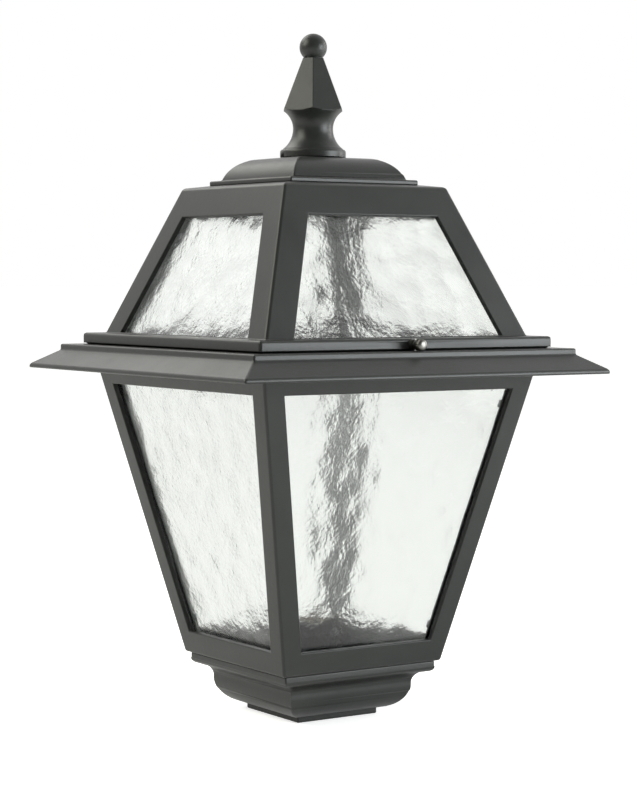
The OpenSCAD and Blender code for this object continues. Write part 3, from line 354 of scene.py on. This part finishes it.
# %% [markdown]
# ## Softened castings
#
# A sand casting never has a knife edge: most edges are rounded by about a millimetre and the long
# outer corners by about two. Those small rounds catch the light as the fine bright lines of the
# photograph. The plain solids have sharp corners, so a copy of each is merged into one skin, its
# flat areas are joined, and a Bevel modifier rounds only the edges that are marked with a weight.
# The weight also sets how much each edge is rounded. Weighted normals keep the flat faces flat.

# %% Round the edges of a copy
MERGE = 2e-6
FLAT = math.radians(0.4)
MITRE_REACH = 0.0005
SHORTEST = 0.0015
ROUNDED_AFTER = math.radians(25)
SHARP_AFTER = math.radians(48)


def merged_copy(name):
    """The skin of a solid as one closed mesh, its level areas joined into large faces."""
    skin = bmesh.new()
    skin.from_mesh(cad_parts[name].data)
    bmesh.ops.remove_doubles(skin, verts=skin.verts, dist=MERGE)
    bmesh.ops.dissolve_limit(skin, angle_limit=FLAT, verts=skin.verts, edges=skin.edges)
    bmesh.ops.connect_verts_concave(skin, faces=skin.faces)
    return skin


def shade(mesh, sharp_after):
    """Smooth shading that breaks where two faces meet at more than an angle."""
    for face in mesh.polygons:
        face.use_smooth = True
    mesh.set_sharp_from_angle(angle=sharp_after)


def soften(name, width, new_name, corner=None, body="lantern"):
    """Replaces a casting by a copy with its long sharp edges rounded, the outer corners the most."""
    corner = corner or width
    skin = merged_copy(name)
    weight = skin.edges.layers.float.new("bevel_weight_edge")
    marked = 0
    for edge in skin.edges:
        if len(edge.link_faces) != 2 or edge.calc_length() < SHORTEST:
            continue
        if edge.calc_face_angle(0) > ROUNDED_AFTER:
            middle = (edge.verts[0].co + edge.verts[1].co) / 2
            on_mitre = all(abs(abs(v.co.x) - abs(v.co.y)) < MITRE_REACH for v in edge.verts)
            outside = (edge.link_faces[0].normal + edge.link_faces[1].normal).dot(middle) > 0
            edge[weight] = 1.0 if on_mitre and outside and edge.is_convex else width / corner
            marked += 1
    mesh = bpy.data.meshes.new(new_name)
    skin.to_mesh(mesh)
    skin.free()
    piece = bpy.data.objects.new(new_name, mesh)
    bpy.context.scene.collection.objects.link(piece)
    bevel = piece.modifiers.new("rounding", "BEVEL")
    bevel.limit_method = "WEIGHT"
    bevel.offset_type = "OFFSET"
    bevel.width = corner
    bevel.segments = 3
    bevel.use_clamp_overlap = False
    bevel.miter_outer = "MITER_SHARP"
    shaped = bpy.data.meshes.new_from_object(piece.evaluated_get(bpy.context.evaluated_depsgraph_get()))
    piece.modifiers.clear()
    piece.data = shaped
    shaped.name = new_name
    shade(shaped, SHARP_AFTER)
    normals = piece.modifiers.new("flat_faces", "WEIGHTED_NORMAL")
    normals.keep_sharp = True
    shaped.materials.clear()
    shaped.materials.append(coat)
    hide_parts(name)
    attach(piece, body)
    print(new_name, marked, "edges rounded,", len(shaped.polygons), "faces")


# %% Soften each casting
soften("base_cup", 0.0006, "moulded_foot", 0.0012)
soften("body_frame", 0.0008, "body_casting", 0.0022)
soften("brim", 0.0010, "brim_casting", 0.0014)
soften("roof_frame", 0.0007, "roof_casting", 0.0022, body="roof")
soften("roof_cap", 0.0007, "dome_cap", 0.0012, body="roof")
soften("finial", 0.0004, "finial_casting", body="roof")

# %% [markdown]
# ## The thumb screw
#
# The end of a thumb screw is turned to a low dome. It could be a sphere cut by a plane, but the
# flat end is there already: insetting it four times, each ring a little higher than the last,
# gives the same round shape and keeps the fluted rim as it is. A flat end would mirror a whole
# soft box as one white disc.

# %% Dome the head of the thumb screw
DOME_STEPS = [(0.0005, 0.00034), (0.0006, 0.00026), (0.0007, 0.00018), (0.0007, 0.0001)]  # inset and rise
DOME_SHARP_AFTER = math.radians(38)
skin = merged_copy("thumb_screw")
face = min((f for f in skin.faces if f.normal.y < -0.99), key=lambda f: f.calc_center_median().y)
for inset, rise in DOME_STEPS:
    bmesh.ops.inset_region(skin, faces=[face], thickness=inset, depth=rise)
mesh = bpy.data.meshes.new("domed_thumb_screw")
skin.to_mesh(mesh)
skin.free()
shade(mesh, DOME_SHARP_AFTER)
screw = bpy.data.objects.new("domed_thumb_screw", mesh)
bpy.context.scene.collection.objects.link(screw)
mesh.materials.append(nickel)
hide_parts("thumb_screw")
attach(screw, "thumb_screw")
print("thumb screw faces:", len(mesh.polygons))

# %% [markdown]
# ## Tape behind the glazing strips
#
# A glazing strip presses two panes against their corner post, and glaziers lay a sealing tape
# under it, or daylight would shine through the slot between strip and post. The tape fills the
# wedge between the two panes. The panes stand at right angles and the strip lies across them, so
# each side of the tape leans in by as much as the tape is thick.

# %% Lay the tape
TAPE_DEPTH = 0.0017
TAPE_PLAY = 0.0001
LEVEL = 0.00005


def tape(name, strips, body):
    """One wedge of tape on the outer face of each strip, all in one mesh."""
    lines = bmesh.new()
    for strip in strips:
        skin = merged_copy(strip)
        middle = sum((v.co for v in skin.verts), Vector()) / len(skin.verts)
        outward = Vector((middle.x, middle.y, 0)).normalized()
        along_wall = Vector((-outward.y, outward.x, 0))
        normal = max(skin.faces, key=lambda f: f.normal.dot(outward)).normal.copy()
        run = normal.cross(along_wall)
        top = max(v.co.dot(normal) for v in skin.verts)
        face = [v.co for v in skin.verts if v.co.dot(normal) > top - LEVEL]
        half = max(co.dot(along_wall) for co in face) - TAPE_PLAY
        ends = sorted(co.dot(run) for co in face)
        skin.free()
        corners = []
        for depth in (0.0, TAPE_DEPTH):
            level = normal * (top + depth)
            for end in (ends[0], ends[-1]):
                corners += [lines.verts.new(level + run * end + along_wall * side)
                            for side in (depth - half, half - depth)]
        bmesh.ops.convex_hull(lines, input=corners)
    bmesh.ops.recalc_face_normals(lines, faces=lines.faces)
    bmesh.ops.dissolve_limit(lines, angle_limit=FLAT, verts=lines.verts, edges=lines.edges)
    mesh = bpy.data.meshes.new(name)
    lines.to_mesh(mesh)
    lines.free()
    made = bpy.data.objects.new(name, mesh)
    bpy.context.scene.collection.objects.link(made)
    mesh.materials.append(rubber)
    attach(made, body)


tape("body_glazing_tape", [f"body_strip_{corner}" for corner in CORNERS], "lantern")
tape("roof_glazing_tape", [f"roof_strip_{corner}" for corner in CORNERS], "roof")

# %% [markdown]
# ## Hammered glass
#
# The panes are clear glass, rolled so that one side has shallow waves some 16 mm long. They bend
# what is seen through them: a far corner post becomes a mottled grey streak. A bump map would
# bend the light too, but real waves in the mesh also show in the outline of a reflection and
# survive in an exported model. Geometry Nodes suit panes: a grid is bent into a tapering slab,
# copied to the four sides, and only then pressed with noise, so that no two panes are alike.

# %% The node tree of the panes


def geometry_tree(name, inputs):
    """A geometry group with the given inputs; a whole number makes a whole-number socket."""
    tree = bpy.data.node_groups.new(name, "GeometryNodeTree")
    tree.interface.new_socket("Geometry", in_out="INPUT", socket_type="NodeSocketGeometry")
    for key, value in inputs.items():
        kind = "Material" if isinstance(value, bpy.types.Material) else type(value).__name__.title()
        socket = tree.interface.new_socket(key, in_out="INPUT", socket_type="NodeSocket" + kind)
        if kind != "Material":
            socket.default_value = value
    tree.interface.new_socket("Geometry", in_out="OUTPUT", socket_type="NodeSocketGeometry")
    return tree, tree.nodes.new("NodeGroupInput").outputs, tree.nodes.new("NodeGroupOutput").inputs


def settle(name, tree, values):
    """Runs a geometry tree on an empty object and returns the plain mesh object."""
    made = bpy.data.objects.new(name, bpy.data.meshes.new(name))
    bpy.context.scene.collection.objects.link(made)
    run = made.modifiers.new("build", "NODES")
    run.node_group = tree
    sockets = {item.name: item.identifier for item in tree.interface.items_tree if item.in_out == "INPUT"}
    for key, value in values.items():
        run[sockets[key]] = value
    done = bpy.data.meshes.new_from_object(made.evaluated_get(bpy.context.evaluated_depsgraph_get()))
    made.modifiers.clear()
    made.data = done
    done.name = name
    return made


def vector(tree, x, y, z):
    """A vector from three numbers or sockets."""
    return add(tree, "ShaderNodeCombineXYZ", {0: x, 1: y, 2: z}).outputs[0]


def shifted(tree, geometry, position, selection=None):
    """Moves points to new positions."""
    inputs = {"Geometry": geometry, "Position": position}
    if selection is not None:
        inputs["Selection"] = selection
    return add(tree, "GeometryNodeSetPosition", inputs).outputs[0]


FLAT_RIM, FULL_WAVES = 0.499, 0.485
SHORT_WAVE, SHORT_WAVE_SHARE = 0.45, 0.1
WELD = 1e-5
glass = bpy.data.materials.new("hammered_glass")
pane_tree, given, out = geometry_tree("hammered_panes", {
    "Low Width": 0.1, "High Width": 0.2, "Length": 0.2, "Thickness": 0.004, "Foot Distance": 0.06,
    "Foot Height": 0.05, "Tilt": 0.0, "Cell": 0.0025, "Wave Length": 0.02, "Wave Height": 0.0005,
    "Seed": 1.0, "Glass": glass})
tree = pane_tree
widest = maths(tree, "MAXIMUM", given["Low Width"], given["High Width"])
columns = maths(tree, "DIVIDE", widest, given["Cell"])
rows = maths(tree, "DIVIDE", given["Length"], given["Cell"])
grid = add(tree, "GeometryNodeMeshGrid", {"Vertices X": columns, "Vertices Y": rows}).outputs[0]
at = add(tree, "ShaderNodeSeparateXYZ", {0: add(tree, "GeometryNodeInputPosition").outputs[0]}).outputs
up = maths(tree, "ADD", at[1], 0.5)
rim = maths(tree, "MAXIMUM", maths(tree, "ABSOLUTE", at[0]), maths(tree, "ABSOLUTE", at[1]))
inside = add(tree, "ShaderNodeMapRange", {0: rim, 1: FLAT_RIM, 2: FULL_WAVES, 3: 0.0, 4: 1.0}).outputs[0]
grid = add(tree, "GeometryNodeStoreNamedAttribute", {"Geometry": grid, "Name": "inside", "Value": inside},
           data_type="FLOAT", domain="POINT").outputs[0]
widening = maths(tree, "SUBTRACT", given["High Width"], given["Low Width"])
width = maths(tree, "ADD", given["Low Width"], maths(tree, "MULTIPLY", up, widening))
rear = maths(tree, "MULTIPLY", given["Thickness"], -1.0)
flat = shifted(tree, grid, vector(tree, maths(tree, "MULTIPLY", at[0], width),
                                  maths(tree, "MULTIPLY", up, given["Length"]), rear))
raised = add(tree, "GeometryNodeExtrudeMesh", {"Mesh": flat, "Offset": vector(tree, 0.0, 0.0, 1.0),
                                               "Offset Scale": given["Thickness"], "Individual": False})
rear_face = add(tree, "GeometryNodeFlipFaces", {0: flat}).outputs[0]
both = add(tree, "GeometryNodeJoinGeometry")
tree.links.new(raised.outputs[0], both.inputs[0])
tree.links.new(rear_face, both.inputs[0])
slab = add(tree, "GeometryNodeMergeByDistance", {"Geometry": both.outputs[0], "Distance": WELD}).outputs[0]
high = add(tree, "ShaderNodeSeparateXYZ", {0: add(tree, "GeometryNodeInputPosition").outputs[0]}).outputs[2]
outer = maths(tree, "GREATER_THAN", high, maths(tree, "MULTIPLY", rear, 0.5))
pressed = add(tree, "GeometryNodeInputNamedAttribute", {"Name": "inside"}, data_type="FLOAT").outputs[0]
slab = add(tree, "GeometryNodeStoreNamedAttribute",
           {"Geometry": slab, "Name": "inside", "Value": maths(tree, "MULTIPLY", outer, pressed)},
           data_type="FLOAT", domain="POINT").outputs[0]
stood = add(tree, "GeometryNodeTransform", {
    "Geometry": slab, "Rotation": vector(tree, given["Tilt"], 0.0, 0.0),
    "Translation": vector(tree, 0.0, maths(tree, "MULTIPLY", given["Foot Distance"], -1.0),
                          given["Foot Height"])}).outputs[0]
spots = add(tree, "GeometryNodePoints", {"Count": len(SIDES)}).outputs[0]
quarter = maths(tree, "MULTIPLY", add(tree, "GeometryNodeInputIndex").outputs[0], math.pi / 2)
copies = add(tree, "GeometryNodeInstanceOnPoints", {"Points": spots, "Instance": stood,
                                                    "Rotation": vector(tree, 0.0, 0.0, quarter)}).outputs[0]
real = add(tree, "GeometryNodeRealizeInstances", {0: copies}).outputs[0]


def wave(tree, share):
    """Noise with a wave length that is a share of the main one."""
    size = maths(tree, "DIVIDE", 1.0, maths(tree, "MULTIPLY", given["Wave Length"], share))
    return add(tree, "ShaderNodeTexNoise", {"W": given["Seed"], "Scale": size, "Detail": 0.0},
               noise_dimensions="4D").outputs[0]


short = maths(tree, "MULTIPLY", wave(tree, SHORT_WAVE), SHORT_WAVE_SHARE)
relief = maths(tree, "ADD", wave(tree, 1.0), short)
depth = maths(tree, "MULTIPLY", maths(tree, "MULTIPLY", relief, given["Wave Height"]),
              add(tree, "GeometryNodeInputNamedAttribute", {"Name": "inside"}, data_type="FLOAT").outputs[0])
facing = add(tree, "GeometryNodeInputNormal").outputs[0]
inward = add(tree, "ShaderNodeVectorMath", {0: facing, 3: maths(tree, "MULTIPLY", depth, -1.0)},
             operation="SCALE").outputs[0]
bent = add(tree, "GeometryNodeSetPosition", {"Geometry": real, "Offset": inward}).outputs[0]
smooth = add(tree, "GeometryNodeSetShadeSmooth", {"Geometry": bent}).outputs[0]
smooth = add(tree, "GeometryNodeRealizeInstances", {0: smooth}).outputs[0]
glazed = add(tree, "GeometryNodeSetMaterial", {"Geometry": smooth, "Material": given["Glass"]})
tree.links.new(glazed.outputs[0], out[0])
print("pane tree with", len(tree.nodes), "nodes")

# %% Measure a plain pane


def outer_face(name):
    """Foot and head edges of the outer face of the pane on the front side: half width, y and z."""
    skin = merged_copy(name)
    face = min(skin.faces, key=lambda f: f.normal.y)
    corners = sorted((v.co.copy() for v in face.verts), key=lambda c: c.z)
    normal = face.normal.copy()
    skin.free()
    low, high = corners[0], corners[-1]
    return (abs(low.x), low.y, low.z), (abs(high.x), high.y, high.z), normal


# %% Make the eight panes
PANE_THICKNESS = 0.004
for part, body, seed in (("body", "lantern", 3.0), ("roof", "roof", 8.0)):
    low, high, normal = outer_face(f"{part}_glass_front")
    rise = math.hypot(high[1] - low[1], high[2] - low[2])
    tilt = math.pi / 2 - math.asin(normal.z)
    panes = settle(f"{part}_panes", pane_tree, {
        "Low Width": 2 * low[0], "High Width": 2 * high[0], "Length": rise, "Thickness": PANE_THICKNESS,
        "Foot Distance": -low[1], "Foot Height": low[2], "Tilt": tilt, "Cell": 0.0025,
        "Wave Length": 0.016, "Wave Height": 0.0017, "Seed": seed, "Glass": glass})
    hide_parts(*[f"{part}_glass_{side}" for side in SIDES])
    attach(panes, body)

# %% [markdown]
# ## The finish of the glass
#
# Between the large waves the rolled side is covered with fine wrinkles a few millimetres apart.
# They are too small to model, so they are the one part of the relief that is left to a bump. The
# tint is the faint green of ordinary window glass.

# %% Finish the glass
WRINKLES_PER_METRE, FINE_WRINKLES_PER_METRE, FINE_SHARE = 150.0, 400.0, 0.6
glass.use_nodes = True
tree = glass.node_tree
pane = tree.nodes["Principled BSDF"]
pane.inputs["Base Color"].default_value = (0.985, 1.0, 0.98, 1)
pane.inputs["Roughness"].default_value = 0.16
pane.inputs["IOR"].default_value = 1.5
pane.inputs["Transmission Weight"].default_value = 1.0
place = add(tree, "ShaderNodeTexCoord").outputs["Object"]
fine = noise(tree, place, FINE_WRINKLES_PER_METRE, 1.0)
coarse = noise(tree, place, WRINKLES_PER_METRE, 1.0)
wrinkles = maths(tree, "MULTIPLY_ADD", fine, FINE_SHARE, coarse)
relief = add(tree, "ShaderNodeBump", {"Strength": 1.0, "Distance": 0.00022, "Height": wrinkles})
tree.links.new(relief.outputs[0], pane.inputs["Normal"])
print("glass tree with", len(tree.nodes), "nodes")

# %% [markdown]
# ## The lamp thread
#
# The brass sleeve of the lampholder is rolled from thin sheet, so its thread shows on both sides
# as one soft wave that climbs round the sleeve. Sweeping a thin, tall section round a circle
# gives a closed ring, and a sine of height and angle turns it into a thread.

# %% The node tree of the rolled thread
thread_tree, given, out = geometry_tree("rolled_thread", {
    "Radius": 0.0135, "Wall": 0.0005, "Height": 0.023, "Foot": 0.044, "Pitch": 0.00363, "Depth": 0.00035,
    "Metal": brass})
tree = thread_tree
loop = add(tree, "GeometryNodeCurvePrimitiveCircle", {"Resolution": 96, "Radius": given["Radius"]}).outputs[0]
section = add(tree, "GeometryNodeCurvePrimitiveQuadrilateral",
              {"Width": given["Wall"], "Height": given["Height"]}).outputs[0]
section = add(tree, "GeometryNodeResampleCurve", {"Curve": section, "Count": 120}).outputs[0]
ring = add(tree, "GeometryNodeCurveToMesh", {"Curve": loop, "Profile Curve": section}).outputs[0]
position = add(tree, "GeometryNodeInputPosition").outputs[0]
at = add(tree, "ShaderNodeSeparateXYZ", {0: position}).outputs
turn = maths(tree, "ARCTAN2", at[1], at[0])
climb = maths(tree, "MULTIPLY", maths(tree, "DIVIDE", at[2], given["Pitch"]), 2 * math.pi)
thread = maths(tree, "SINE", maths(tree, "SUBTRACT", climb, turn))
end = maths(tree, "SUBTRACT", 0.5, maths(tree, "ABSOLUTE", maths(tree, "DIVIDE", at[2], given["Height"])))
fade = add(tree, "ShaderNodeMapRange", {0: end, 1: 0.0, 2: 0.09, 3: 0.0, 4: 1.0}).outputs[0]
swell = maths(tree, "MULTIPLY", maths(tree, "MULTIPLY", thread, fade), given["Depth"])
round_way = add(tree, "ShaderNodeVectorMath", {0: vector(tree, at[0], at[1], 0.0)},
                operation="NORMALIZE").outputs[0]
out_in = add(tree, "ShaderNodeVectorMath", {0: round_way, 3: swell}, operation="SCALE").outputs[0]
lift = add(tree, "ShaderNodeVectorMath", {0: out_in, 1: vector(tree, 0.0, 0.0, given["Foot"])},
           operation="ADD").outputs[0]
threaded = add(tree, "GeometryNodeSetPosition", {"Geometry": ring, "Offset": lift}).outputs[0]
threaded = add(tree, "GeometryNodeSetShadeSmooth", {"Geometry": threaded}).outputs[0]
threaded = add(tree, "GeometryNodeRealizeInstances", {0: threaded}).outputs[0]
plated = add(tree, "GeometryNodeSetMaterial", {"Geometry": threaded, "Material": given["Metal"]})
tree.links.new(plated.outputs[0], out[0])
print("thread tree with", len(tree.nodes), "nodes")

# %% Make the threaded sleeve
low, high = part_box("holder_sleeve")
SLEEVE_WALL, THREAD_PITCH, THREAD_DEPTH = 0.0005, 0.00363, 0.00035
sleeve = settle("threaded_sleeve", thread_tree, {
    "Radius": high[0] - SLEEVE_WALL / 2 - THREAD_DEPTH, "Wall": SLEEVE_WALL, "Height": high[2] - low[2],
    "Foot": (low[2] + high[2]) / 2, "Pitch": THREAD_PITCH, "Depth": THREAD_DEPTH, "Metal": brass})
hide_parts("holder_sleeve")
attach(sleeve, "lantern")
print("sleeve faces:", len(sleeve.data.polygons))

# %% [markdown]
# ## The last step
#
# The view transform is Standard, so that white paper stays white; a film-like one would grey it.

# %% Finish the scene
bpy.context.scene.view_settings.view_transform = "Standard"
